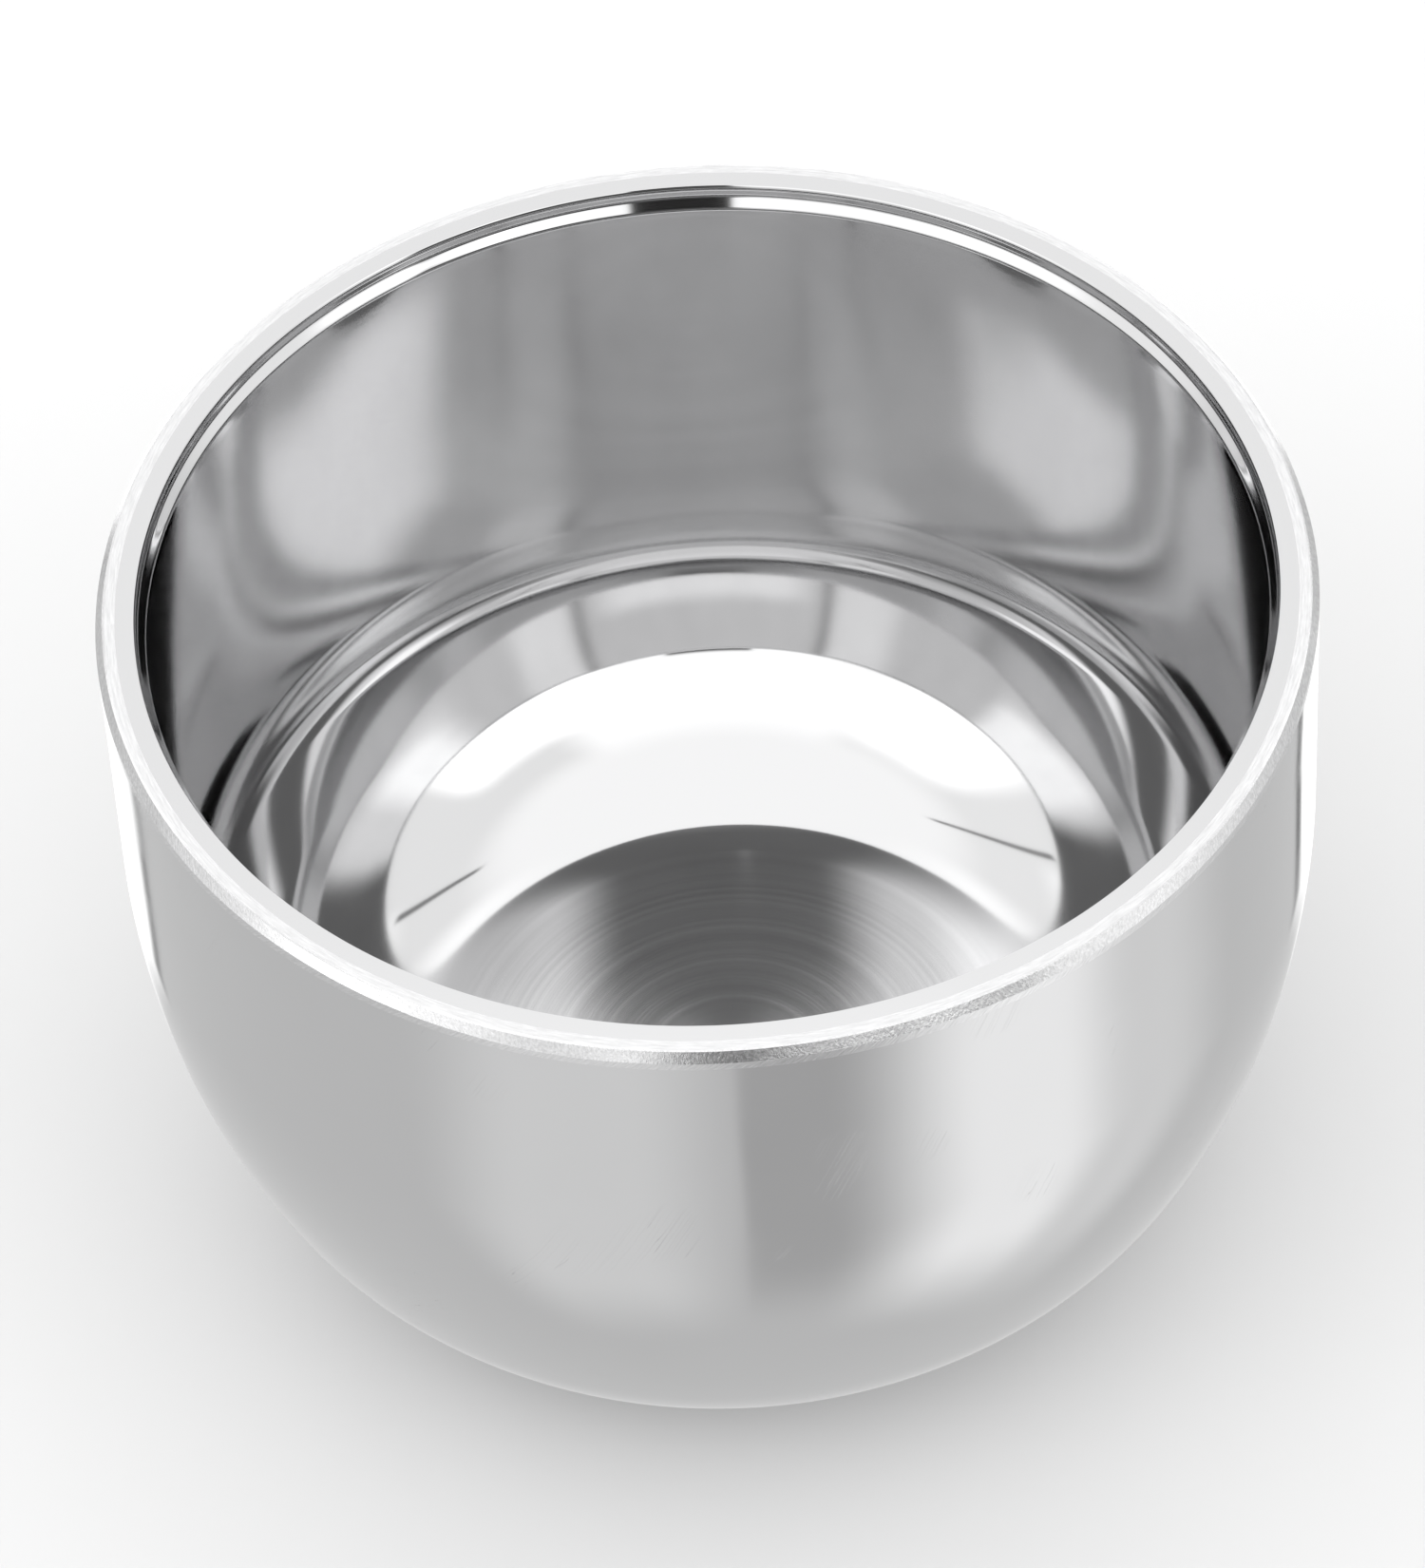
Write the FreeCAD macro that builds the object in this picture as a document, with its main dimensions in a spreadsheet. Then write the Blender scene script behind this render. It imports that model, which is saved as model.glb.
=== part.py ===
"""Double-walled steel shaving mug: a drawn outer shell, a drawn inner bowl whose flange
reaches out to it at the mouth, the weld that joins them there, and a plugged vent hole
in the base.

Millimetres. The foot stands on z = 0 and +Z is the axis of revolution.
Every profile is drawn in the XZ plane: sketch x is the radius, sketch y is the height.
Only the vent hole's circle is drawn in the XY plane.
"""
import FreeCAD, Part
import Sketcher
import math
import os

DIMENSIONS = (
    ("rim_radius", 49.0, "outer radius at the mouth, the widest place"),
    ("mug_height", 63.5, "foot to ground top of the rim"),
    ("gauge", 0.55, "sheet thickness of both cups"),
    ("shell_draft", 0.5, "taper of the outer wall, degrees"),
    ("shell_shoulder_radius", 69.1, "large arc below the straight outer wall"),
    ("shell_corner_radius", 23.4, "arc that rounds the shell under into its foot"),
    ("foot_outer_radius", 21.8, "outer edge of the flat foot ring"),
    ("foot_inner_radius", 18.2, "inner edge of the flat foot ring"),
    ("recess_slope", 1.4, "radial width of the slope inside the foot ring"),
    ("recess_depth", 0.9, "how far the middle of the base is pressed up"),
    ("weld_depth", 1.6, "shell's cut edge below the top of the rim"),
    ("bevel_height", 0.85, "ground outer bevel, along the axis"),
    ("bevel_width", 0.6, "ground outer bevel, across the rim"),
    ("bevel_edge_radius", 0.15, "worn corner between the bevel and the flat"),
    ("flange_radius", 47.4, "outer edge of the inner bowl's flange"),
    ("grind", 0.3, "metal ground off the top of the flange"),
    ("lip_radius", 45.7, "inner radius of the upright band under the flange"),
    ("lip_bend", 0.8, "bend from the upright band to the flange"),
    ("lip_band", 0.8, "top of the rim to the foot of the upright band"),
    ("step_bend", 0.6, "both bends of the step below the band"),
    ("step_slope", 37.0, "slope between those bends, degrees from the axis"),
    ("bowl_radius", 45.0, "inner radius of the bowl's wall at the step"),
    ("bowl_draft", 0.5, "taper of the bowl's wall, degrees"),
    ("bowl_bend_radius", 12.7, "tight arc at the foot of the bowl's wall"),
    ("bowl_slant_radius", 48.0, "nearly straight slant below that arc"),
    ("slant_edge_radius", 39.5, "where the slant meets the corner arc"),
    ("bowl_corner_radius", 22.7, "arc between the slant and the dished bottom"),
    ("dish_radius", 350.0, "shallow dish of the bowl's bottom"),
    ("dish_edge_radius", 23.0, "where the dish meets the corner arc"),
    ("bowl_depth", 58.6, "rim to the lowest point inside"),
    ("vent_radius", 0.8, "vent hole in the middle of the base"),
    ("plug_head_radius", 1.8, "weld button over the vent hole"),
    ("plug_head_height", 0.35, "how far the button stands below the recess"),
    ("plug_root", 0.3, "how far the plug stands inside the shell"),
)

os.makedirs("parts", exist_ok=True)
doc = FreeCAD.newDocument("ShavingMug")
sheet = doc.addObject("Spreadsheet::Sheet", "Dimensions")
for row, (alias, number, note) in enumerate(DIMENSIONS, start=1):
    sheet.set(f"A{row}", alias)
    sheet.set(f"B{row}", str(number))
    sheet.set(f"C{row}", note)
    sheet.setAlias(f"B{row}", alias)
doc.recompute()

VALUE = {alias: number for alias, number, note in DIMENSIONS}
AXIS = -2        # Sketcher's number for a sketch's vertical axis
ORIGIN = -1      # the sketch's origin is point 1 of this
START, END, CENTRE = 1, 2, 3
CLOSE = 1e-4     # two lengths this near are the same
LEVEL = 0.999    # a face whose axis leans less than this along Z isn't level


def new_body(label):
    body = doc.addObject("PartDesign::Body", label)
    body.Label = label
    return body


def origin_plane(body, role):
    return next(feature for feature in body.Origin.OriginFeatures if feature.Role == role)


def new_sketch(body, name, role="XZ_Plane"):
    sketch = body.newObject("Sketcher::SketchObject", name)
    sketch.AttachmentSupport = [(origin_plane(body, role), "")]
    sketch.MapMode = "FlatFace"
    return sketch


def cells(formula):
    """Writes a formula of aliases as an expression on the spreadsheet."""
    words = formula.replace("(", "( ").replace(")", " )").split()
    return " ".join(f"Dimensions.{word}" if word in VALUE else word for word in words)


def worth(formula):
    """Works out the same formula from the driving dimensions."""
    total = 0.0
    sign = 1.0
    for word in formula.split():
        if word in "+-":
            sign = 1.0 if word == "+" else -1.0
        else:
            total += sign * (VALUE[word] if word in VALUE else float(word))
    return total


def drive(sketch, constraint, formula, unit=""):
    """Adds a constraint and binds its size to the spreadsheet."""
    index = sketch.addConstraint(constraint)
    sketch.setExpression(f"Constraints[{index}]", f"({cells(formula)}){unit}")


def place(sketch, edge, point, radius=None, height=None):
    """Ties one point of an edge to a driven radius, height or both."""
    if radius is not None:
        rule = Sketcher.Constraint("DistanceX", ORIGIN, START, edge, point, worth(radius))
        drive(sketch, rule, radius)
    if height is not None:
        rule = Sketcher.Constraint("DistanceY", ORIGIN, START, edge, point, worth(height))
        drive(sketch, rule, height)


def line(sketch, start, end):
    first = FreeCAD.Vector(start[0], start[1], 0)
    last = FreeCAD.Vector(end[0], end[1], 0)
    return sketch.addGeometry(Part.LineSegment(first, last), False)


def arc(sketch, centre, radius, start_degrees, end_degrees):
    circle = Part.Circle(FreeCAD.Vector(centre[0], centre[1], 0), FreeCAD.Vector(0, 0, 1), radius)
    start, end = math.radians(start_degrees), math.radians(end_degrees)
    return sketch.addGeometry(Part.ArcOfCircle(circle, start, end), False)


def join(sketch, first, first_point, second, second_point, kind="Coincident"):
    sketch.addConstraint(Sketcher.Constraint(kind, first, first_point, second, second_point))


def revolve(body, sketch, name):
    revolution = body.newObject("PartDesign::Revolution", name)
    revolution.Profile = sketch
    revolution.ReferenceAxis = (sketch, ["V_Axis"])
    revolution.Angle = 360.0
    doc.recompute()
    return revolution


def planes_at(shape, height):
    """Names of the flat, level faces at a height."""
    found = []
    for number, face in enumerate(shape.Faces, start=1):
        level = isinstance(face.Surface, Part.Plane) and abs(face.Surface.Axis.z) > LEVEL
        if level and abs(face.CenterOfMass.z - height) < CLOSE:
            found.append(f"Face{number}")
    return found


def sheet_metal(body, solid, open_faces, name):
    """Hollows a solid to sheet of the driven gauge, inside its faces and open at some."""
    skin = body.newObject("PartDesign::Thickness", name)
    skin.Base = (solid, open_faces)
    skin.Mode = "Skin"
    skin.Join = "Arc"
    skin.Reversed = True
    skin.setExpression("Value", "Dimensions.gauge")
    doc.recompute()
    return skin


def polygon(sketch, points):
    """Draws a closed polygon from pairs of driven formulas, radius first."""
    spots = [(worth(radius), worth(height)) for radius, height in points]
    edges = [line(sketch, spots[i], spots[(i + 1) % len(spots)]) for i in range(len(spots))]
    for i, (radius, height) in enumerate(points):
        join(sketch, edges[i], END, edges[(i + 1) % len(edges)], START)
        place(sketch, edges[i], START, radius=radius, height=height)
    return edges


def finish_sketch(sketch):
    doc.recompute()
    if sketch.solve() != 0 or not sketch.FullyConstrained:
        raise RuntimeError(f"{sketch.Name} is not fully constrained")


def wall_above(centre, corner_radius, shoulder_radius, draft, top):
    """Two arcs and a straight wall, each tangent to the next, the corner arc lowest.

    Gives the angle below level where the two arcs meet, the shoulder arc's centre, and the
    foot of the straight wall, which leans outwards by draft and ends at top.
    """
    spread = shoulder_radius - corner_radius
    lean = math.tan(draft)
    reach = centre[0] + shoulder_radius * math.cos(draft) - top[0]
    rise = top[1] - centre[1] + shoulder_radius * math.sin(draft)
    meet = draft + math.acos((reach + rise * lean) * math.cos(draft) / spread)
    shoulder = (centre[0] - spread * math.cos(meet), centre[1] + spread * math.sin(meet))
    foot = (shoulder[0] + shoulder_radius * math.cos(draft),
            shoulder[1] - shoulder_radius * math.sin(draft))
    return meet, shoulder, foot


def side_of_cup(sketch, centre, corner, shoulder, draft, top, floor_degrees):
    """Draws those three edges, driven by the named dimensions, and returns them."""
    angle = math.radians(VALUE[draft])
    meet, shoulder_centre, foot = wall_above(centre, VALUE[corner], VALUE[shoulder], angle, top)
    meet_degrees = math.degrees(meet)
    corner_arc = arc(sketch, centre, VALUE[corner], floor_degrees, -meet_degrees)
    shoulder_arc = arc(sketch, shoulder_centre, VALUE[shoulder], -meet_degrees, -VALUE[draft])
    wall = line(sketch, foot, top)
    join(sketch, corner_arc, END, shoulder_arc, START, "Tangent")
    join(sketch, shoulder_arc, END, wall, START, "Tangent")
    drive(sketch, Sketcher.Constraint("Radius", corner_arc, VALUE[corner]), corner)
    drive(sketch, Sketcher.Constraint("Radius", shoulder_arc, VALUE[shoulder]), shoulder)
    upright = math.radians(90 - VALUE[draft])
    drive(sketch, Sketcher.Constraint("Angle", wall, upright), f"90 - {draft}", " * 1 deg")
    return corner_arc, shoulder_arc, wall


# ---- outer shell: a drawn cup with a straight wall, a rounded lower half and a flat foot

outer_shell = new_body("outer_shell")
MOUTH = "mug_height - weld_depth"
outline = new_sketch(outer_shell, "shell_outline")
slope_top = (worth("foot_inner_radius - recess_slope"), VALUE["recess_depth"])
floor = line(outline, (0, slope_top[1]), slope_top)
slope = line(outline, slope_top, (VALUE["foot_inner_radius"], 0))
foot_ring = line(outline, (VALUE["foot_inner_radius"], 0), (VALUE["foot_outer_radius"], 0))
corner_centre = (VALUE["foot_outer_radius"], VALUE["shell_corner_radius"])
corner_arc, shoulder_arc, wall = side_of_cup(
    outline, corner_centre, "shell_corner_radius", "shell_shoulder_radius", "shell_draft",
    (VALUE["rim_radius"], worth(MOUTH)), -90)
mouth = line(outline, (VALUE["rim_radius"], worth(MOUTH)), (0, worth(MOUTH)))
axis = line(outline, (0, worth(MOUTH)), (0, slope_top[1]))
join(outline, floor, END, slope, START)
join(outline, slope, END, foot_ring, START)
join(outline, foot_ring, END, corner_arc, START, "Tangent")
join(outline, wall, END, mouth, START)
join(outline, mouth, END, axis, START)
join(outline, axis, END, floor, START)
outline.addConstraint(Sketcher.Constraint("Horizontal", floor))
outline.addConstraint(Sketcher.Constraint("Horizontal", foot_ring))
outline.addConstraint(Sketcher.Constraint("Horizontal", mouth))
outline.addConstraint(Sketcher.Constraint("PointOnObject", axis, START, AXIS))
outline.addConstraint(Sketcher.Constraint("PointOnObject", axis, END, AXIS))
outline.addConstraint(Sketcher.Constraint("PointOnObject", slope, END, ORIGIN))
place(outline, slope, START, radius="foot_inner_radius - recess_slope", height="recess_depth")
place(outline, foot_ring, START, radius="foot_inner_radius")
place(outline, foot_ring, END, radius="foot_outer_radius")
place(outline, wall, END, radius="rim_radius", height=MOUTH)
finish_sketch(outline)
solid_shell = revolve(outer_shell, outline, "shell_solid")
open_mouth = planes_at(solid_shell.Shape, worth(MOUTH))
skin = sheet_metal(outer_shell, solid_shell, open_mouth, "shell_sheet")

vent = new_sketch(outer_shell, "vent_circle", "XY_Plane")
ring = vent.addGeometry(Part.Circle(FreeCAD.Vector(), FreeCAD.Vector(0, 0, 1), VALUE["vent_radius"]))
join(vent, ring, CENTRE, ORIGIN, START)
drive(vent, Sketcher.Constraint("Radius", ring, VALUE["vent_radius"]), "vent_radius")
finish_sketch(vent)
vent_hole = outer_shell.newObject("PartDesign::Pocket", "vent_hole")
vent_hole.Profile = vent
vent_hole.Type = "ThroughAll"
vent_hole.Midplane = True
doc.recompute()
if vent_hole.Shape.Volume >= skin.Shape.Volume:
    raise RuntimeError("the vent hole cuts nothing")

# ---- inner bowl: the liner, with a step and an outward flange at its mouth
# Its section is drawn whole: the polished side and the hidden side of one sheet, whose arcs
# share their centres.

inner_bowl = new_body("inner_bowl")
lining = new_sketch(inner_bowl, "bowl_section")
FLOOR = "mug_height - bowl_depth"
UNDERSIDE = "mug_height + grind - gauge"
gauge = VALUE["gauge"]
draft = math.radians(VALUE["bowl_draft"])

step = VALUE["step_bend"]
turn_degrees = VALUE["step_slope"]
turn = math.radians(turn_degrees)
upper_centre = (VALUE["lip_radius"] - step, worth("mug_height - lip_band"))
lower_centre_radius = VALUE["bowl_radius"] + step * math.cos(draft)
bends_across = lower_centre_radius - upper_centre[0] - 2 * step * math.cos(turn)
slope_length = -bends_across / math.sin(turn)
lower_centre = (lower_centre_radius,
                upper_centre[1] - 2 * step * math.sin(turn) - slope_length * math.cos(turn))
wall_top = (VALUE["bowl_radius"], lower_centre[1] + step * math.sin(draft))

dish = VALUE["dish_radius"]
dish_centre = (0, worth(FLOOR) + dish)
dish_angle = math.asin(VALUE["dish_edge_radius"] / dish)
dish_degrees = math.degrees(dish_angle) - 90
corner = VALUE["bowl_corner_radius"]
corner_centre = ((dish - corner) * math.sin(dish_angle),
                 dish_centre[1] - (dish - corner) * math.cos(dish_angle))
slant = VALUE["bowl_slant_radius"]
slant_angle = -math.acos((VALUE["slant_edge_radius"] - corner_centre[0]) / corner)
slant_degrees = math.degrees(slant_angle)
slant_centre = (corner_centre[0] + (corner - slant) * math.cos(slant_angle),
                corner_centre[1] + (corner - slant) * math.sin(slant_angle))
wall_bend = VALUE["bowl_bend_radius"]
meet, wall_bend_centre, wall_foot = wall_above(slant_centre, slant, wall_bend, draft, wall_top)
meet_degrees = math.degrees(meet)

bend = VALUE["lip_bend"]
bend_centre = (VALUE["lip_radius"] + bend, worth("mug_height + grind") - bend)
ground_degrees = 180 - math.degrees(math.asin((bend - VALUE["grind"]) / bend))

(DISH, CORNER, SLANT, WALL_BEND, WALL,
 LOWER_BEND, SLOPE, UPPER_BEND, BAND, LIP) = range(10)


def bowl_side(offset, lip_end_degrees):
    """One side of the sheet, from the axis to the lip; offset is 0 or the gauge.

    Each edge is given with the point it starts at and the point it ends at, going outwards.
    """
    across = (offset * math.cos(draft), -offset * math.sin(draft))
    foot = (wall_foot[0] + across[0], wall_foot[1] + across[1])
    top = (wall_top[0] + across[0], wall_top[1] + across[1])
    band_radius = VALUE["lip_radius"] + offset
    slope_foot = (lower_centre[0] - (step - offset) * math.cos(turn),
                  lower_centre[1] + (step - offset) * math.sin(turn))
    slope_head = (upper_centre[0] + (step + offset) * math.cos(turn),
                  upper_centre[1] - (step + offset) * math.sin(turn))
    edges = (
        (arc(lining, dish_centre, dish + offset, -90, dish_degrees), START, END),
        (arc(lining, corner_centre, corner + offset, dish_degrees, slant_degrees), START, END),
        (arc(lining, slant_centre, slant + offset, slant_degrees, -meet_degrees), START, END),
        (arc(lining, wall_bend_centre, wall_bend + offset, -meet_degrees, -VALUE["bowl_draft"]),
         START, END),
        (line(lining, foot, top), START, END),
        (arc(lining, lower_centre, step - offset, 180 - turn_degrees, 180 - VALUE["bowl_draft"]),
         END, START),
        (line(lining, slope_foot, slope_head), START, END),
        (arc(lining, upper_centre, step + offset, -turn_degrees, 0), START, END),
        (line(lining, (band_radius, upper_centre[1]), (band_radius, bend_centre[1])), START, END),
        (arc(lining, bend_centre, bend - offset, lip_end_degrees, 180), END, START),
    )
    for near, far in zip(edges, edges[1:]):
        join(lining, near[0], near[2], far[0], far[1], "Tangent")
    lining.addConstraint(Sketcher.Constraint("Vertical", edges[BAND][0]))
    return edges


polished = bowl_side(0.0, ground_degrees)
hidden = bowl_side(gauge, 90)
for arc_place in (DISH, CORNER, SLANT, WALL_BEND, LOWER_BEND, UPPER_BEND, LIP):
    join(lining, polished[arc_place][0], CENTRE, hidden[arc_place][0], CENTRE)

lip_top = (bend_centre[0] + bend * math.cos(math.radians(ground_degrees)), VALUE["mug_height"])
flange_top = line(lining, lip_top, (VALUE["flange_radius"], VALUE["mug_height"]))
flange_edge = line(lining, (VALUE["flange_radius"], VALUE["mug_height"]),
                   (VALUE["flange_radius"], worth(UNDERSIDE)))
flange_under = line(lining, (VALUE["flange_radius"], worth(UNDERSIDE)),
                    (bend_centre[0], worth(UNDERSIDE)))
axis = line(lining, (0, worth(FLOOR) - gauge), (0, worth(FLOOR)))
join(lining, polished[LIP][0], START, flange_top, START)
join(lining, flange_top, END, flange_edge, START)
join(lining, flange_edge, END, flange_under, START)
join(lining, flange_under, END, hidden[LIP][0], START, "Tangent")
join(lining, hidden[DISH][0], START, axis, START)
join(lining, axis, END, polished[DISH][0], START)
lining.addConstraint(Sketcher.Constraint("Horizontal", flange_top))
lining.addConstraint(Sketcher.Constraint("Horizontal", flange_under))
lining.addConstraint(Sketcher.Constraint("PointOnObject", axis, START, AXIS))
lining.addConstraint(Sketcher.Constraint("PointOnObject", axis, END, AXIS))
lining.addConstraint(Sketcher.Constraint("PointOnObject", polished[DISH][0], CENTRE, AXIS))
for straight in (WALL, SLOPE):
    pair = Sketcher.Constraint("Parallel", polished[straight][0], hidden[straight][0])
    lining.addConstraint(pair)
upright = Sketcher.Constraint("Angle", polished[WALL][0], math.radians(90) - draft)
drive(lining, upright, "90 - bowl_draft", " * 1 deg")
lean = Sketcher.Constraint("Angle", polished[SLOPE][0], math.radians(90 - turn_degrees))
drive(lining, lean, "90 - step_slope", " * 1 deg")
for arc_place, alias in ((DISH, "dish_radius"), (CORNER, "bowl_corner_radius"),
                         (SLANT, "bowl_slant_radius"), (WALL_BEND, "bowl_bend_radius"),
                         (LOWER_BEND, "step_bend"), (UPPER_BEND, "step_bend"),
                         (LIP, "lip_bend")):
    edge = polished[arc_place][0]
    drive(lining, Sketcher.Constraint("Radius", edge, VALUE[alias]), alias)
place(lining, polished[DISH][0], START, height=FLOOR)
place(lining, polished[DISH][0], END, radius="dish_edge_radius")
place(lining, polished[CORNER][0], END, radius="slant_edge_radius")
place(lining, polished[WALL][0], END, radius="bowl_radius")
place(lining, polished[BAND][0], START, radius="lip_radius", height="mug_height - lip_band")
place(lining, polished[LIP][0], CENTRE, height="mug_height + grind - lip_bend")
place(lining, flange_top, END, radius="flange_radius", height="mug_height")
place(lining, flange_edge, END, radius="flange_radius", height=UNDERSIDE)
finish_sketch(lining)
revolve(inner_bowl, lining, "bowl_solid")

# ---- rim weld: fills the corner between the flange and the shell, ground flat and bevelled

rim_weld = new_body("rim_weld")
bead = new_sketch(rim_weld, "weld_section")
polygon(bead, (
    ("flange_radius", "mug_height + grind - gauge"),
    ("rim_radius - gauge", MOUTH),
    ("rim_radius", MOUTH),
    ("rim_radius", "mug_height - bevel_height"),
    ("rim_radius - bevel_width", "mug_height"),
    ("flange_radius", "mug_height"),
))
finish_sketch(bead)
ring = revolve(rim_weld, bead, "weld_ring")
worn = []
for number, edge in enumerate(ring.Shape.Edges, start=1):
    round_edge = isinstance(edge.Curve, Part.Circle)
    if round_edge and abs(edge.Curve.Radius - worth("rim_radius - bevel_width")) < CLOSE:
        worn.append(f"Edge{number}")
edge_round = rim_weld.newObject("PartDesign::Fillet", "worn_edge")
edge_round.Base = (ring, worn)
edge_round.setExpression("Radius", "Dimensions.bevel_edge_radius")
doc.recompute()

# ---- vent plug: weld metal through the vent hole, with a low button under the recess

vent_plug = new_body("vent_plug")
plug = new_sketch(vent_plug, "plug_section")
polygon(plug, (
    ("0", "recess_depth - plug_head_height"),
    ("plug_head_radius - plug_head_height", "recess_depth - plug_head_height"),
    ("plug_head_radius", "recess_depth"),
    ("vent_radius", "recess_depth"),
    ("vent_radius", "recess_depth + gauge + plug_root"),
    ("0", "recess_depth + gauge + plug_root"),
))
finish_sketch(plug)
revolve(vent_plug, plug, "plug_solid")

# ---- check and write

doc.recompute()
for item in doc.Objects:
    if "Invalid" in item.State or "Error" in item.State:
        raise RuntimeError(f"{item.Label}: {item.State}")
for body in (outer_shell, inner_bowl, rim_weld, vent_plug):
    shape = body.Shape
    if shape.isNull() or not shape.isValid() or len(shape.Solids) != 1:
        raise RuntimeError(f"{body.Label} is not one valid solid")
    print(f"{body.Label}: {shape.Volume:.1f} mm3, {shape.BoundBox}")
    shape.exportStep(f"parts/{body.Label}.step")
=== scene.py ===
"""Looks of a double-walled steel shaving mug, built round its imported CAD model.

The four pieces are an outer shell, an inner bowl, the ground weld that joins them at the rim,
and the plug of the vent hole in the base. The first three are turned again here as fine meshes
of their CAD sections, with the small unevenness of hand finishing, and the plug is the CAD
node itself. Sections are in millimetres as (radius, height), and Blender objects in metres.
"""

import math

import bpy
from mathutils import Matrix, Vector, noise


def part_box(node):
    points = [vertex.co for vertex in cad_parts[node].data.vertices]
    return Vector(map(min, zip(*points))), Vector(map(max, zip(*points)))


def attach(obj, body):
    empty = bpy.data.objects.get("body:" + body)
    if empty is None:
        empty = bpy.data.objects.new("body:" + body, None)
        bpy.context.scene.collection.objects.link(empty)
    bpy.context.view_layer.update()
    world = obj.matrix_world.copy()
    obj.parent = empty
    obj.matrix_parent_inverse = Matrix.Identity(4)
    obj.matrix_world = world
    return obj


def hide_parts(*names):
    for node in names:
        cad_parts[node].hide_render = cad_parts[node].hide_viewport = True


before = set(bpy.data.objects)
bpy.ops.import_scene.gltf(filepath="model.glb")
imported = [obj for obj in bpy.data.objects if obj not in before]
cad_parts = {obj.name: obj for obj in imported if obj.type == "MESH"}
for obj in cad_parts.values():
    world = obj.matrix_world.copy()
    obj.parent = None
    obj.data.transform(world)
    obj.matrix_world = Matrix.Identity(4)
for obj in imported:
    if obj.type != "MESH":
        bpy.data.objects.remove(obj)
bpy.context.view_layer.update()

MM = 0.001
TURNS = 360          # steps round the axis
ARC_STEPS = 14       # steps along one arc of a section
WALL_STEPS = 20      # steps along a straight wall
SAME_POINT = 1e-5    # section points nearer than this, in millimetres, are one point
ON_AXIS = 1e-6       # a section point with a radius under this is on the axis
SHARP = math.radians(22)

# ---- sizes, in millimetres: the outside comes from the frame, the rest is the CAD section

RIM_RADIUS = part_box("rim_weld")[1].x / MM
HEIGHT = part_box("rim_weld")[1].z / MM
WELD_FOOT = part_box("rim_weld")[0].z / MM
GAUGE = 0.55

SHELL_DRAFT = math.radians(0.5)
SHELL_SHOULDER = 69.1
SHELL_CORNER = 23.4
FOOT_OUTER = 21.8
FOOT_INNER = 18.2
RECESS_SLOPE = 1.4
RECESS_DEPTH = 0.9
VENT_RADIUS = 0.8

BEVEL_HEIGHT = 0.85
BEVEL_WIDTH = 0.6
FLANGE_RADIUS = 47.4
GRIND = 0.3
BEVEL_SOFT = 0.12    # how far back from the bevel's top corner the small flat across it starts

LIP_RADIUS = 45.7
LIP_BEND = 0.8
LIP_BAND = 0.8
STEP_BEND = 0.6
STEP_SLOPE = math.radians(37.0)
BOWL_RADIUS = 45.0
BOWL_DRAFT = math.radians(0.5)
WALL_BEND = 12.7
SLANT = 48.0
SLANT_EDGE = 39.5
BOWL_CORNER = 22.7
DISH = 350.0
DISH_EDGE = 23.0
BOWL_DEPTH = 58.6


# ---- sections

def arc(centre, radius, start, end, steps=ARC_STEPS):
    """Points along an arc from its start angle to its end angle, in radians."""
    angles = [start + (end - start) * step / steps for step in range(steps + 1)]
    return [(centre[0] + radius * math.cos(a), centre[1] + radius * math.sin(a)) for a in angles]


def run(start, end, steps):
    """Points along a straight line."""
    shares = [step / steps for step in range(steps + 1)]
    return [(start[0] + (end[0] - start[0]) * s, start[1] + (end[1] - start[1]) * s)
            for s in shares]


def chain(*stretches):
    """Joins stretches end to end, with each shared point once."""
    points = []
    for stretch in stretches:
        for point in stretch:
            if not points or math.dist(point, points[-1]) > SAME_POINT:
                points.append(point)
    return points


def wall_above(centre, corner, shoulder, draft, top):
    """The shoulder arc and the straight wall that follow a corner arc, all tangent."""
    spread = shoulder - corner
    reach = centre[0] + shoulder * math.cos(draft) - top[0]
    rise = top[1] - centre[1] + shoulder * math.sin(draft)
    meet = draft + math.acos((reach + rise * math.tan(draft)) * math.cos(draft) / spread)
    return meet, (centre[0] - spread * math.cos(meet), centre[1] + spread * math.sin(meet))


def shell_side(inset):
    """One side of the shell's sheet, from the vent hole to the mouth; inset is 0 or the gauge."""
    corner_centre = (FOOT_OUTER, SHELL_CORNER)
    top = (RIM_RADIUS, WELD_FOOT)
    meet, shoulder_centre = wall_above(corner_centre, SHELL_CORNER, SHELL_SHOULDER, SHELL_DRAFT, top)
    recess_edge = (FOOT_INNER - RECESS_SLOPE, RECESS_DEPTH + inset)
    foot_inner = (FOOT_INNER, inset)
    corner = arc(corner_centre, SHELL_CORNER - inset, -math.pi / 2, -meet, 3 * ARC_STEPS)
    shoulder = arc(shoulder_centre, SHELL_SHOULDER - inset, -meet, -SHELL_DRAFT, 3 * ARC_STEPS)
    mouth = (RIM_RADIUS - inset / math.cos(SHELL_DRAFT), WELD_FOOT)
    return chain(run((VENT_RADIUS, RECESS_DEPTH + inset), recess_edge, 6),
                 run(recess_edge, foot_inner, 3), run(foot_inner, (FOOT_OUTER, inset), 3),
                 corner, shoulder, run(shoulder[-1], mouth, WALL_STEPS))


def shell_section():
    return shell_side(0.0) + shell_side(GAUGE)[::-1]


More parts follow.
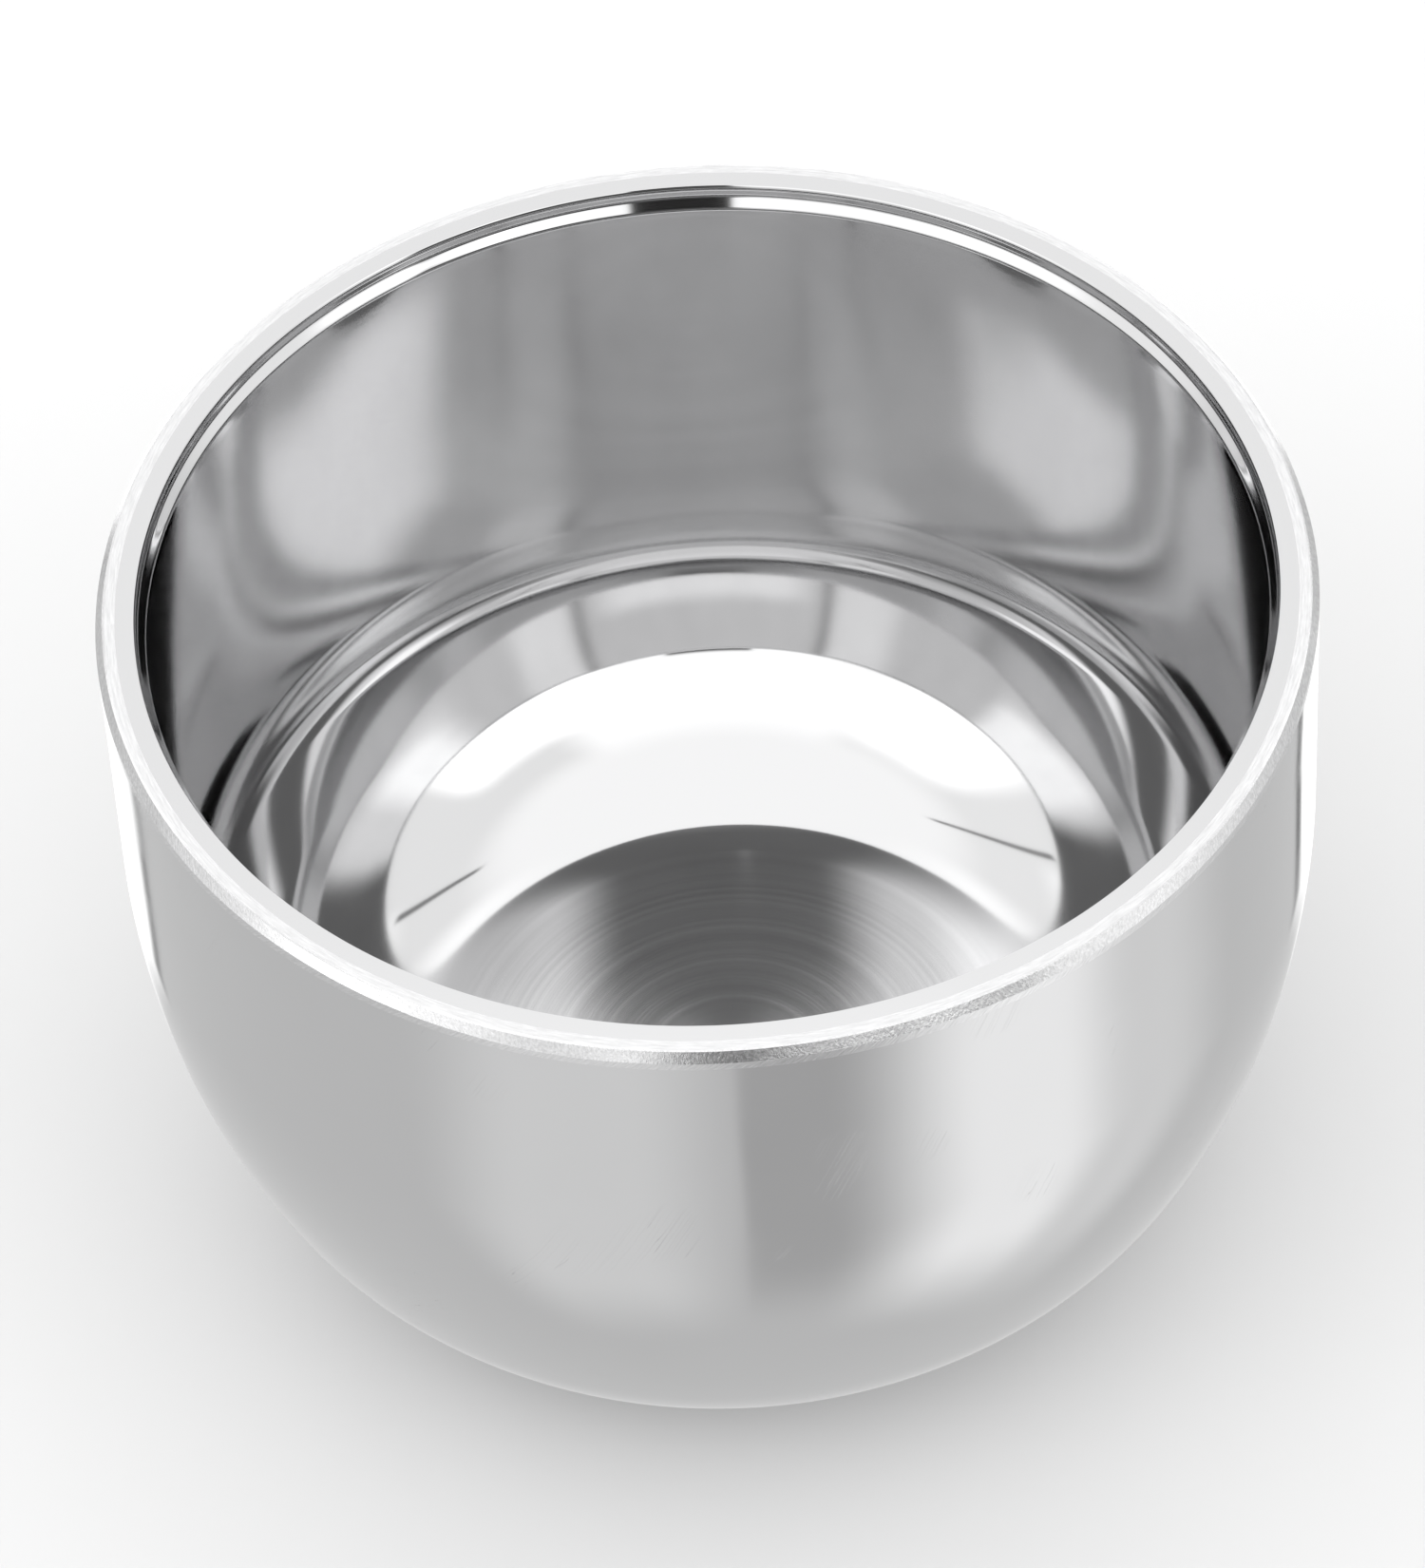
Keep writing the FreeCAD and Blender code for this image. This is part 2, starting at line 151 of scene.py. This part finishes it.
def bowl_side(offset):
    """One side of the bowl's sheet, from the axis to the lip; offset is 0 or the gauge."""
    draft = BOWL_DRAFT
    upper = (LIP_RADIUS - STEP_BEND, HEIGHT - LIP_BAND)
    turn = STEP_SLOPE
    lower_radius = BOWL_RADIUS + STEP_BEND * math.cos(draft)
    slope = (upper[0] + 2 * STEP_BEND * math.cos(turn) - lower_radius) / math.sin(turn)
    lower = (lower_radius,
             upper[1] - 2 * STEP_BEND * math.sin(turn) - slope * math.cos(turn))
    wall_top = (BOWL_RADIUS, lower[1] + STEP_BEND * math.sin(draft))

    dish_centre = (0.0, HEIGHT - BOWL_DEPTH + DISH)
    dish_end = math.asin(DISH_EDGE / DISH) - math.pi / 2
    corner_centre = ((DISH - BOWL_CORNER) * math.cos(dish_end),
                     dish_centre[1] + (DISH - BOWL_CORNER) * math.sin(dish_end))
    slant_start = -math.acos((SLANT_EDGE - corner_centre[0]) / BOWL_CORNER)
    slant_centre = (corner_centre[0] + (BOWL_CORNER - SLANT) * math.cos(slant_start),
                    corner_centre[1] + (BOWL_CORNER - SLANT) * math.sin(slant_start))
    meet, bend_centre = wall_above(slant_centre, SLANT, WALL_BEND, draft, wall_top)
    lip_centre = (LIP_RADIUS + LIP_BEND, HEIGHT + GRIND - LIP_BEND)
    lip_end = math.pi - math.asin((LIP_BEND - GRIND) / LIP_BEND) if offset == 0 else math.pi / 2

    dish = arc(dish_centre, DISH + offset, -math.pi / 2, dish_end, 2 * ARC_STEPS)
    corner = arc(corner_centre, BOWL_CORNER + offset, dish_end, slant_start, 3 * ARC_STEPS)
    slant = arc(slant_centre, SLANT + offset, slant_start, -meet)
    bend = arc(bend_centre, WALL_BEND + offset, -meet, -draft, 2 * ARC_STEPS)
    step_low = arc(lower, STEP_BEND - offset, math.pi - draft, math.pi - turn)
    step_high = arc(upper, STEP_BEND + offset, -turn, 0.0)
    lip = arc(lip_centre, LIP_BEND - offset, math.pi, lip_end)
    return chain(dish, corner, slant, bend, run(bend[-1], step_low[0], 2 * WALL_STEPS),
                 step_low, run(step_low[-1], step_high[0], 4), step_high,
                 run(step_high[-1], lip[0], 3), lip)


def bowl_section():
    under = HEIGHT + GRIND - GAUGE
    flange = [(FLANGE_RADIUS, HEIGHT), (FLANGE_RADIUS, under)]
    return bowl_side(0.0) + flange + bowl_side(GAUGE)[::-1]


def weld_section():
    """The ground weld. Its bevel is cut in at its outer corner and is wavy, see uneven_bevel."""
    bevel_foot = (RIM_RADIUS, HEIGHT - BEVEL_HEIGHT)
    bevel_top = (RIM_RADIUS - BEVEL_WIDTH, HEIGHT)
    along = Vector((bevel_top[0] - bevel_foot[0], bevel_top[1] - bevel_foot[1])).normalized()
    top_in = (bevel_top[0] - BEVEL_SOFT, HEIGHT)
    top_out = (bevel_top[0] - BEVEL_SOFT * along.x, HEIGHT - BEVEL_SOFT * along.y)
    foot_up = (bevel_foot[0] + BEVEL_SOFT * along.x, bevel_foot[1] + BEVEL_SOFT * along.y)
    return chain([(FLANGE_RADIUS, HEIGHT + GRIND - GAUGE), (RIM_RADIUS - GAUGE, WELD_FOOT),
                  (RIM_RADIUS, WELD_FOOT)], run(bevel_foot, foot_up, 2), run(foot_up, top_out, 6),
                 run(top_out, top_in, 3), run(top_in, (FLANGE_RADIUS, HEIGHT), 5))


# ---- meshes of revolution

def revolve(name, section, shift, material):
    """Turns a closed section about Z. shift gives each point's small move, in millimetres."""
    rings = []
    vertices = []
    for radius, height in section:
        first = len(vertices)
        on_axis = radius < ON_AXIS
        for turn in range(1 if on_axis else TURNS):
            angle = 2 * math.pi * turn / TURNS
            outwards, up = shift(radius, height, angle)
            r = (radius + outwards) * MM
            vertices.append((r * math.cos(angle), r * math.sin(angle), (height + up) * MM))
        rings.append((first, on_axis))
    faces = []
    loop = list(zip(rings, rings[1:] + rings[:1]))
    for (low, low_axis), (high, high_axis) in loop:
        if low_axis and high_axis:
            continue
        for turn in range(TURNS):
            after = (turn + 1) % TURNS
            if low_axis:
                faces.append((low, high + after, high + turn))
            elif high_axis:
                faces.append((low + turn, low + after, high))
            else:
                faces.append((low + turn, low + after, high + after, high + turn))
    mesh = bpy.data.meshes.new(name)
    mesh.from_pydata(vertices, [], faces)
    mesh.validate()
    mesh.shade_smooth()
    mesh.set_sharp_from_angle(angle=SHARP)
    mesh.materials.append(material)
    piece = bpy.data.objects.new(name, mesh)
    bpy.context.scene.collection.objects.link(piece)
    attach(piece, "root")
    return piece


def ripple(angle, height, round_trip, seed):
    """Smooth noise from about -1 to 1 that closes on itself round the axis."""
    around = Vector((math.cos(angle), math.sin(angle), 0.0)) * round_trip
    return noise.noise(around + Vector((seed, 0.0, height)))


def spun_sheet(radius, height, angle):
    """The slight flats and swells that spinning and polishing leave, none at the edges."""
    room = min(1.0, max(0.0, (WELD_FOOT - 1.5 - height) / 6.0)) * min(1.0, radius / 20.0)
    swell = 0.03 * ripple(angle, height / 14.0, 3.0, 5.0)
    return room * (swell - 0.02), 0.0


def uneven_bevel(radius, height, angle):
    """The foot of the hand-ground bevel rises and falls, and its top edge wanders a little."""
    on_bevel = WELD_FOOT + 0.01 < height and radius > RIM_RADIUS - BEVEL_WIDTH - 0.2
    if not on_bevel:
        return 0.0, 0.0
    drop = min(1.0, (HEIGHT - height) / BEVEL_HEIGHT)
    rise = 0.16 * ripple(angle, 0.0, 2.2, 1.0) + 0.07 * ripple(angle, 0.0, 9.0, 2.0)
    wander = 0.06 * ripple(angle, 0.0, 5.0, 3.0) - 0.03
    return (1.0 - drop) * wander, drop * rise


# ---- shader nodes

class Graph:
    """Adds nodes to one node tree. An input is given as a number, a colour or an output."""

    def __init__(self, tree):
        self.tree = tree

    def feed(self, socket, source):
        if isinstance(source, bpy.types.NodeSocket):
            self.tree.links.new(source, socket)
        else:
            socket.default_value = source

    def math(self, operation, *sources):
        node = self.tree.nodes.new("ShaderNodeMath")
        node.operation = operation
        for socket, source in zip(node.inputs, sources):
            self.feed(socket, source)
        return node.outputs[0]

    def vector(self, operation, *sources):
        node = self.tree.nodes.new("ShaderNodeVectorMath")
        node.operation = operation
        for socket, source in zip(node.inputs, sources):
            self.feed(socket, source)
        return node.outputs["Value"] if operation == "LENGTH" else node.outputs["Vector"]

    def combine(self, x, y, z):
        node = self.tree.nodes.new("ShaderNodeCombineXYZ")
        for socket, source in zip(node.inputs, (x, y, z)):
            self.feed(socket, source)
        return node.outputs[0]

    def split(self, source):
        node = self.tree.nodes.new("ShaderNodeSeparateXYZ")
        self.feed(node.inputs[0], source)
        return node.outputs

    def step(self, value, low, high, out_low=0.0, out_high=1.0):
        """Goes smoothly from out_low to out_high as value goes from low to high."""
        node = self.tree.nodes.new("ShaderNodeMapRange")
        node.interpolation_type = "SMOOTHSTEP"
        for socket, source in zip(node.inputs, (value, low, high, out_low, out_high)):
            self.feed(socket, source)
        return node.outputs[0]

    def band(self, value, low, high, soft):
        """1 between low and high, 0 outside, over a soft edge."""
        up = self.step(value, low - soft, low + soft)
        down = self.step(value, high - soft, high + soft, 1.0, 0.0)
        return self.math("MULTIPLY", up, down)

    def mix(self, share, first, second):
        """first where share is 0, second where it is 1, for plain numbers."""
        node = self.tree.nodes.new("ShaderNodeMix")
        for socket, source in zip((node.inputs[0], node.inputs[2], node.inputs[3]),
                                  (share, first, second)):
            self.feed(socket, source)
        return node.outputs[0]

    def noise(self, vector, scale, detail=2.0, roughness=0.5, distortion=0.0):
        node = self.tree.nodes.new("ShaderNodeTexNoise")
        self.feed(node.inputs["Vector"], vector)
        node.inputs["Scale"].default_value = scale
        node.inputs["Detail"].default_value = detail
        node.inputs["Roughness"].default_value = roughness
        node.inputs["Distortion"].default_value = distortion
        return node.outputs["Fac"]

    def bump(self, height, strength, distance, below=None):
        node = self.tree.nodes.new("ShaderNodeBump")
        node.inputs["Strength"].default_value = strength
        node.inputs["Distance"].default_value = distance
        self.feed(node.inputs["Height"], height)
        if below is not None:
            self.feed(node.inputs["Normal"], below)
        return node.outputs[0]

    def object_point(self):
        """The point in millimetres, with its radius and height."""
        node = self.tree.nodes.new("ShaderNodeTexCoord")
        point = self.vector("SCALE", node.outputs["Object"])
        point.node.inputs["Scale"].default_value = 1 / MM
        x, y, height = self.split(point)
        radius = self.vector("LENGTH", self.combine(x, y, 0.0))
        return point, radius, height


# ---- materials

def new_material(name, anisotropy=0.0):
    """A metal. When it is anisotropic, its tangent runs round the axis, as the marks of a lathe do."""
    material = bpy.data.materials.new(name)
    material.use_nodes = True
    graph = Graph(material.node_tree)
    shader = material.node_tree.nodes["Principled BSDF"]
    shader.inputs["Metallic"].default_value = 1.0
    shader.inputs["Anisotropic"].default_value = anisotropy
    if anisotropy:
        tangent = material.node_tree.nodes.new("ShaderNodeTangent")
        tangent.direction_type = "RADIAL"
        tangent.axis = "Z"
        graph.feed(shader.inputs["Tangent"], tangent.outputs[0])
    return material, graph, shader


def grey(graph, value):
    return graph.combine(value, value, graph.math("MULTIPLY", value, 1.006))


def cylinder_point(graph, along, across, tilt=0.0):
    """Texture space for marks that run round the axis.

    along and across are how many noise cells fit in a millimetre along and across the marks,
    and tilt turns the marks from level, as a slope.
    """
    node = graph.tree.nodes.new("ShaderNodeTexCoord")
    x, y, height = graph.split(node.outputs["Object"])
    radius = graph.math("DIVIDE", graph.vector("LENGTH", graph.combine(x, y, 0.0)), MM)
    height = graph.math("DIVIDE", height, MM)
    arc_length = graph.math("MULTIPLY", graph.math("ARCTAN2", y, x), radius)
    climb = graph.math("SUBTRACT", height, graph.math("MULTIPLY", arc_length, tilt))
    return graph.combine(graph.math("MULTIPLY", arc_length, along),
                         graph.math("MULTIPLY", climb, across),
                         graph.math("MULTIPLY", radius, across))


def mirror_steel():
    """Buffed outside: almost a mirror, with hazy patches and a few long fine scratches."""
    material, graph, shader = new_material("mirror_steel", 0.4)
    point = graph.object_point()[0]
    haze = graph.noise(point, 0.045, 4.0, 0.6)
    buffing = graph.noise(cylinder_point(graph, 0.05, 3.0), 1.0, 3.0, 0.6)
    streak = graph.noise(cylinder_point(graph, 0.06, 0.9, 2.2), 1.0, 1.0, 0.4)
    scratch = graph.step(graph.math("ABSOLUTE", graph.math("SUBTRACT", streak, 0.5)), 0.0, 0.004,
                         1.0, 0.0)
    rare = graph.step(graph.noise(point, 0.09, 1.0), 0.6, 0.66)
    scratch = graph.math("MULTIPLY", scratch, rare)
    colour = graph.math("ADD", 0.595, graph.math("MULTIPLY", haze, 0.05))
    colour = graph.math("SUBTRACT", colour, graph.math("MULTIPLY", scratch, 0.12))
    graph.feed(shader.inputs["Base Color"], grey(graph, colour))
    roughness = graph.step(haze, 0.35, 0.7, 0.07, 0.13)
    roughness = graph.math("ADD", roughness, graph.math("MULTIPLY", scratch, 0.15))
    graph.feed(shader.inputs["Roughness"], roughness)
    fine = graph.bump(buffing, 0.05, 0.00002)
    graph.feed(shader.inputs["Normal"], graph.bump(scratch, 0.2, 0.00003, fine))
    return material


def satin_steel():
    """Inside: a satin wall with faint grain, a bright corner and a turned, ringed bottom."""
    material, graph, shader = new_material("satin_steel", 0.75)
    point, radius, height = graph.object_point()
    dish = graph.step(radius, 20.0, 26.0, 1.0, 0.0)
    wall = graph.step(height, 18.0, 26.0)
    band = graph.step(height, HEIGHT - 3.2, HEIGHT - 2.6)
    wall = graph.math("MULTIPLY", wall, graph.math("SUBTRACT", 1.0, band))

    grain = graph.noise(point, 2.6, 3.0, 0.65)
    cloud = graph.noise(cylinder_point(graph, 0.16, 0.05), 1.0, 3.0, 0.55)
    lines = graph.noise(cylinder_point(graph, 0.03, 2.4), 1.0, 2.0, 0.6)
    rings = graph.noise(graph.combine(radius, 0.0, 0.0), 0.75, 5.0, 0.8)
    smear = graph.noise(point, 0.12, 2.0)

    grained = graph.math("MULTIPLY_ADD", graph.math("SUBTRACT", grain, 0.5), 0.07, 0.62)
    grained = graph.math("MULTIPLY_ADD", graph.math("SUBTRACT", cloud, 0.5), 0.10, grained)
    turned = graph.math("MULTIPLY_ADD", graph.math("SUBTRACT", rings, 0.5), 0.5, 0.60)
    turned = graph.math("MULTIPLY_ADD", graph.math("SUBTRACT", smear, 0.5), 0.10, turned)
    colour = graph.mix(dish, graph.mix(wall, 0.63, grained), turned)
    graph.feed(shader.inputs["Base Color"], grey(graph, colour))

    satin = graph.math("MULTIPLY_ADD", graph.math("SUBTRACT", cloud, 0.5), 0.05, 0.09)
    brushed = graph.math("MULTIPLY_ADD", rings, 0.12, 0.10)
    roughness = graph.mix(dish, graph.mix(wall, 0.05, satin), brushed)
    graph.feed(shader.inputs["Roughness"], roughness)

    relief = graph.math("MULTIPLY", graph.math("ADD", graph.math("MULTIPLY", grain, 0.4), lines), wall)
    relief = graph.math("ADD", relief, graph.math("MULTIPLY", rings, dish))
    graph.feed(shader.inputs["Normal"], graph.bump(relief, 0.03, 0.00004))
    return material


def ground_steel():
    """The rim: weld metal ground flat on top, with brush marks that slant down its bevel."""
    material, graph, shader = new_material("ground_steel")
    height = graph.object_point()[2]
    bevel = graph.step(height, HEIGHT - 0.06, HEIGHT - 0.02, 1.0, 0.0)
    brush = graph.noise(cylinder_point(graph, 1.1, 5.0, 0.9), 1.0, 3.0, 0.7)
    flat = graph.noise(cylinder_point(graph, 0.5, 6.0), 1.0, 3.0, 0.7)
    marks = graph.mix(bevel, flat, brush)
    colour = graph.math("MULTIPLY_ADD", graph.math("SUBTRACT", marks, 0.5), 0.45, 0.68)
    graph.feed(shader.inputs["Base Color"], grey(graph, colour))
    roughness = graph.math("ADD", graph.mix(bevel, 0.26, 0.16), graph.math("MULTIPLY", marks, 0.12))
    graph.feed(shader.inputs["Roughness"], roughness)
    graph.feed(shader.inputs["Normal"], graph.bump(marks, 0.25, 0.00005))
    return material


def weld_steel():
    """The plug of the vent hole: dull weld metal."""
    material, graph, shader = new_material("weld_steel")
    point = graph.object_point()[0]
    grain = graph.noise(point, 3.0, 4.0, 0.6)
    graph.feed(shader.inputs["Base Color"], grey(graph, graph.step(grain, 0.2, 0.8, 0.5, 0.66)))
    graph.feed(shader.inputs["Roughness"], graph.step(grain, 0.2, 0.8, 0.28, 0.42))
    graph.feed(shader.inputs["Normal"], graph.bump(grain, 0.3, 0.0001))
    return material


# ---- the pieces

shell = revolve("mug_shell", shell_section(), spun_sheet, mirror_steel())
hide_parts("outer_shell")
bowl = revolve("mug_bowl", bowl_section(), spun_sheet, satin_steel())
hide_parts("inner_bowl")
weld = revolve("mug_rim", weld_section(), uneven_bevel, ground_steel())
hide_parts("rim_weld")

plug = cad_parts["vent_plug"]
plug.data.materials.clear()
plug.data.materials.append(weld_steel())

# ---- floor, lights and camera

FLOOR_HALF = 4.0
FLOOR_DROP = 0.00005
FLOOR_GREY = 0.72


def plane(name, centre, half_width, half_height, material):
    mesh = bpy.data.meshes.new(name)
    corners = [(-half_width, -half_height, 0), (half_width, -half_height, 0),
               (half_width, half_height, 0), (-half_width, half_height, 0)]
    mesh.from_pydata(corners, [], [(0, 1, 2, 3)])
    mesh.materials.append(material)
    sheet = bpy.data.objects.new(name, mesh)
    sheet.location = centre
    bpy.context.scene.collection.objects.link(sheet)
    return sheet


floor_paint = bpy.data.materials.new("floor_paint")
floor_paint.use_nodes = True
floor_shader = floor_paint.node_tree.nodes["Principled BSDF"]
floor_shader.inputs["Base Color"].default_value = (FLOOR_GREY, FLOOR_GREY, FLOOR_GREY, 1.0)
floor_shader.inputs["Roughness"].default_value = 0.9
floor = plane("floor", (0, 0, -FLOOR_DROP), FLOOR_HALF, FLOOR_HALF, floor_paint)
floor.visible_glossy = False     # unlike a real floor: the steel mirrors the tent below instead


# ---- the light tent: a world whose brightness is set by direction, in patches with soft edges

TENT = 1.62           # brightness in front
BELOW = 0.72          # brightness below the horizon
# middle azimuth, half width, its soft edge, low and high elevation, their soft edge; brightness
PATCHES = (
    (0, 48, 8, 5, 66, 8, 1.2),            # right side of the tent
    (180, 48, 8, 5, 66, 8, 1.25),         # left side of the tent
    (35, 12, 4, 5, 45, 5, 1.65),          # strip right of the back panel
    (147, 12, 4, 5, 45, 5, 1.7),          # strip left of the back panel
    (91, 43, 1.5, 12, 50, 2, 1.25),       # back panel
    (91, 34, 8, 11, 19, 2, 1.8),          # its bright foot
    (48, 2.0, 1, 12, 47, 1, 0.5),         # its right edge
    (134, 2.0, 1, 12, 47, 1, 0.5),        # its left edge
    (-40, 22, 5, 20, 49, 5, 2.3),         # right softbox
    (-152, 17, 10, 20, 58, 6, 2.5),       # left softbox
    (0, 200, 1, 64, 120, 6, 1.45),        # roof, all the way round
    (24.5, 1.1, 0.6, 46, 62, 1, 0.25),    # thin dark mark at the right
    (163.5, 0.9, 0.6, 43, 66, 1, 0.25),   # thin dark mark at the left
    (-122, 23, 13, -68, 2, 9, 0.93),      # the sweep under the tent, front left
    (-67, 22.5, 1.2, -64, 2, 9, 0.54),    # front middle
    (-32, 24, 17, -68, 2, 9, 1.27),       # front right
    (2, 12, 12, -68, 2, 9, 0.93),         # right
    (91, 31, 1.2, -49.5, 2, 1.2, 1.6),    # behind
    (58, 1.8, 0.8, -49.5, 2, 1, 0.2),     # the edges of that
    (124, 1.8, 0.8, -49.5, 2, 1, 0.2),
)
# The tent differs by how many bounces light has made since the camera, which a real tent can't
# do. It was fitted to the photograph that way. These dark patches are in first reflections only.
FIRST_PATCHES = (
    (-70, 30, 3, 2, 24, 3, 0.10),         # wide dark area, low in front
    (-89.5, 9.4, 0.6, 23, 31, 0.8, 0.03), # narrow dark mark above it
)
# These are in second and third reflections only: a dimmer roof, the dark gap that the camera
# would look through, and a pale mark in it. Each goes from left to right as the sine of its
# angle, with a soft edge, then has low and high elevation and their soft edge, in degrees, and
# its brightness.
GAPS = (
    (-0.5, 0.5, 0.1, 59, 80, 5, 0.75),
    (-0.28, 0.29, 0.08, 12, 74, 6, 0.24),
    (-0.056, -0.042, 0.006, 56.4, 58.6, 0.8, 0.62),
)
# Cycles stops after four glossy bounces by default, and this script leaves that as it is. So the
# strips at the far sides of the inner wall, which need six or more reflections, come out black.

world = bpy.data.worlds.new("tent")
world.use_nodes = True
sky = Graph(world.node_tree)
where = world.node_tree.nodes.new("ShaderNodeTexCoord").outputs["Generated"]
east, north, up = sky.split(sky.vector("NORMALIZE", where))
elevation = sky.math("DEGREES", sky.math("ARCSINE", up))
brightness = sky.step(elevation, 5.0, 26.0, BELOW, TENT)
depth = world.node_tree.nodes.new("ShaderNodeLightPath").outputs["Ray Depth"]
first = sky.step(depth, 2.2, 2.8, 1.0, 0.0)
later = sky.band(depth, 2.5, 4.5, 0.3)
for shares, patches in ((None, PATCHES), (first, FIRST_PATCHES)):
    for azimuth, half, soft, low, high, edge, level in patches:
        turn = math.radians(azimuth)
        ahead = sky.math("ADD", sky.math("MULTIPLY", east, math.cos(turn)),
                         sky.math("MULTIPLY", north, math.sin(turn)))
        aside = sky.math("SUBTRACT", sky.math("MULTIPLY", north, math.cos(turn)),
                         sky.math("MULTIPLY", east, math.sin(turn)))
        off = sky.math("DEGREES", sky.math("ARCTAN2", aside, ahead))
        mask = sky.math("MULTIPLY", sky.band(off, -half, half, soft),
                        sky.band(elevation, low, high, edge))
        if shares is not None:
            mask = sky.math("MULTIPLY", mask, shares)
        brightness = sky.mix(mask, brightness, level)
in_front = sky.math("MULTIPLY", sky.step(north, -0.05, 0.0, 1.0, 0.0), later)
for left, right, soft, low, high, edge, level in GAPS:
    mask = sky.math("MULTIPLY", sky.band(east, left, right, soft),
                    sky.band(elevation, low, high, edge))
    brightness = sky.mix(sky.math("MULTIPLY", mask, in_front), brightness, level)
background = world.node_tree.nodes["Background"]
sky.feed(background.inputs["Color"], sky.combine(brightness, brightness, brightness))
background.inputs["Strength"].default_value = 1.0
bpy.context.scene.world = world

CAMERA_DISTANCE = 0.8                    # from the middle of the rim
CAMERA_ELEVATION = math.radians(46.9)
CAMERA_ROLL = math.radians(-3.38)
CAMERA_LENS = 229.7
AIM = Vector((-0.0004, 0.0, 0.04026))

rim_middle = Vector((0.0, 0.0, HEIGHT * MM))
back = Vector((0.0, -math.cos(CAMERA_ELEVATION), math.sin(CAMERA_ELEVATION)))
camera_data = bpy.data.cameras.new("camera")
camera_data.sensor_width = 36.0
camera_data.lens = CAMERA_LENS
camera = bpy.data.objects.new("camera", camera_data)
bpy.context.scene.collection.objects.link(camera)
camera.location = rim_middle + back * CAMERA_DISTANCE
aim = (AIM - camera.location).to_track_quat("-Z", "Y").to_matrix()
camera.rotation_euler = (aim @ Matrix.Rotation(CAMERA_ROLL, 3, "Z")).to_euler()
bpy.context.scene.camera = camera
bpy.context.scene.view_settings.view_transform = "Standard"
